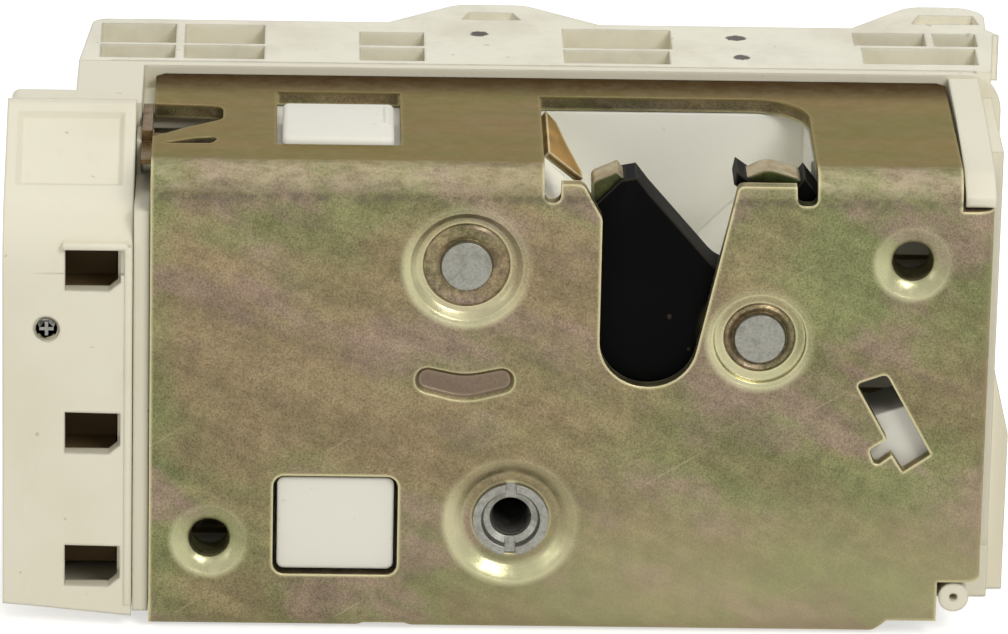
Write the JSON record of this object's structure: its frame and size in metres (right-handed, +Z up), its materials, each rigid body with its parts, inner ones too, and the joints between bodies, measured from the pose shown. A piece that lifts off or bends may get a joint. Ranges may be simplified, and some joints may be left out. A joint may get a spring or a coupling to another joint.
{
  "type": "car door lock",
  "caption": "Car door lock: zinc-plated steel plate with a fork claw and pawl behind it, ivory plastic housings, handle levers and a central-locking drive.",
  "frame": {"origin": "on the axis of the centre bush's thread, in the plane of the front plate's inner face", "axes": "+X right and +Z up as seen on the front plate, +Y into the lock"},
  "size_m": [0.1225, 0.0619, 0.0605],
  "materials": {
    "zinc_steel": "yellow-passivated zinc, satin",
    "plain_steel": "plain steel, satin",
    "spring_steel": "oiled spring steel",
    "black_plastic": "moulded, slightly shiny",
    "white_plastic": "moulded, satin",
    "ivory_plastic": "moulded, satin, aged",
    "grey_plastic": "moulded, satin",
    "rubber": "moulded, matt",
    "brass": "turned, satin"
  },
  "bodies": {
    "case": {"front_plate": "zinc_steel", "inner_carrier": "white_plastic", "striker_cup": "white_plastic", "back_plate": "zinc_steel", "claw_rivet": "plain_steel", "pawl_rivet": "plain_steel", "centre_bush": "plain_steel", "claw_spring": "spring_steel", "pawl_spring": "spring_steel", "striker_buffer": "rubber", "front_housing": "ivory_plastic", "rear_housing": "ivory_plastic", "side_cover": "ivory_plastic", "cover_screw": "plain_steel", "corner_clip": "ivory_plastic", "flange_clip": "spring_steel", "terminal_block": "grey_plastic", "lever_stud": "plain_steel", "lever_spacer": "plain_steel", "actuator_motor": "plain_steel", "gear_pin": "plain_steel", "door_switch": "grey_plastic", "lock_switch": "grey_plastic", "housing_screws": "plain_steel"},
    "claw": {"claw_core": "zinc_steel", "claw_overmould": "black_plastic"},
    "pawl": {"pawl_core": "zinc_steel", "pawl_bumper": "rubber", "pawl_pin": "plain_steel"},
    "release": {"release_lever": "zinc_steel"},
    "outside": {"outside_lever": "zinc_steel", "outside_lever_pin": "plain_steel"},
    "inside": {"inside_lever": "zinc_steel"},
    "child": {"child_lock_slider": "white_plastic"},
    "gear": {"drive_gear": "white_plastic"},
    "worm": {"drive_worm": "brass"},
    "lock": {"lock_lever": "white_plastic"},
    "key": {"key_cam": "grey_plastic"},
    "door_plunger": {"door_switch_plunger": "white_plastic"},
    "lock_plunger": {"lock_switch_plunger": "white_plastic"}
  },
  "joints": [
    {"name": "claw_turn", "type": "hinge", "parent": "case", "child": "claw", "pos_m": [0.0295, 0.0032, 0.0238], "axis": [0, -1, 0], "range_deg": [0, 75], "stiffness_Nm_per_rad": 0.02, "springref_deg": -34.38},
    {"name": "release_turn", "type": "hinge", "parent": "case", "child": "release", "pos_m": [-0.0059, 0.0137, 0.0326], "axis": [0, 1, 0], "range_deg": [0, 14], "stiffness_Nm_per_rad": 0.03, "springref_deg": -28.65},
    {"name": "pawl_turn", "type": "hinge", "parent": "case", "child": "pawl", "pos_m": [-0.0059, 0.0032, 0.0326], "axis": [0, 1, 0], "range_deg": [0, 14]},
    {"name": "outside_turn", "type": "hinge", "parent": "case", "child": "outside", "pos_m": [-0.034, 0.0245, 0.014], "axis": [0, -1, 0], "range_deg": [0, 14]},
    {"name": "inside_turn", "type": "hinge", "parent": "case", "child": "inside", "pos_m": [-0.034, 0.0271, 0.014], "axis": [0, -1, 0], "range_deg": [0, 18], "stiffness_Nm_per_rad": 0.02, "springref_deg": -28.65},
    {"name": "child_slide", "type": "slide", "parent": "case", "child": "child", "axis": [0.4711, 0, -0.8821], "range_m": [0, 0.003]},
    {"name": "gear_turn", "type": "hinge", "parent": "case", "child": "gear", "pos_m": [0.015, 0.0398, 0.0134], "axis": [0, -1, 0], "range_deg": [0, 60]},
    {"name": "worm_turn", "type": "hinge", "parent": "case", "child": "worm", "pos_m": [0.02, 0.0398, 0.002], "axis": [1, 0, 0], "range_deg": [0, 1380]},
    {"name": "lock_turn", "type": "hinge", "parent": "case", "child": "lock", "pos_m": [-0.008, 0.0312, 0.014], "axis": [0, -1, 0], "range_deg": [0, 20]},
    {"name": "key_turn", "type": "hinge", "parent": "case", "child": "key", "pos_m": [0.03, 0.0502, 0.024], "axis": [0, -1, 0], "range_deg": [-45, 45]},
    {"name": "door_plunger_slide", "type": "slide", "parent": "case", "child": "door_plunger", "axis": [0, 0, -1], "range_m": [0, 0.0006], "stiffness_N_per_m": 5, "springref_m": -0.001},
    {"name": "lock_plunger_slide", "type": "slide", "parent": "case", "child": "lock_plunger", "axis": [0, 0, -1], "range_m": [0, 0.0006], "stiffness_N_per_m": 5, "springref_m": -0.001}
  ],
  "couplings": [
    {"joint": "pawl_turn", "follows": "release_turn", "ratio": 1},
    {"joint": "outside_turn", "follows": "release_turn", "ratio": 1},
    {"joint": "worm_turn", "follows": "gear_turn", "ratio": 23},
    {"joint": "lock_turn", "follows": "gear_turn", "ratio": 0.3333}
  ]
}
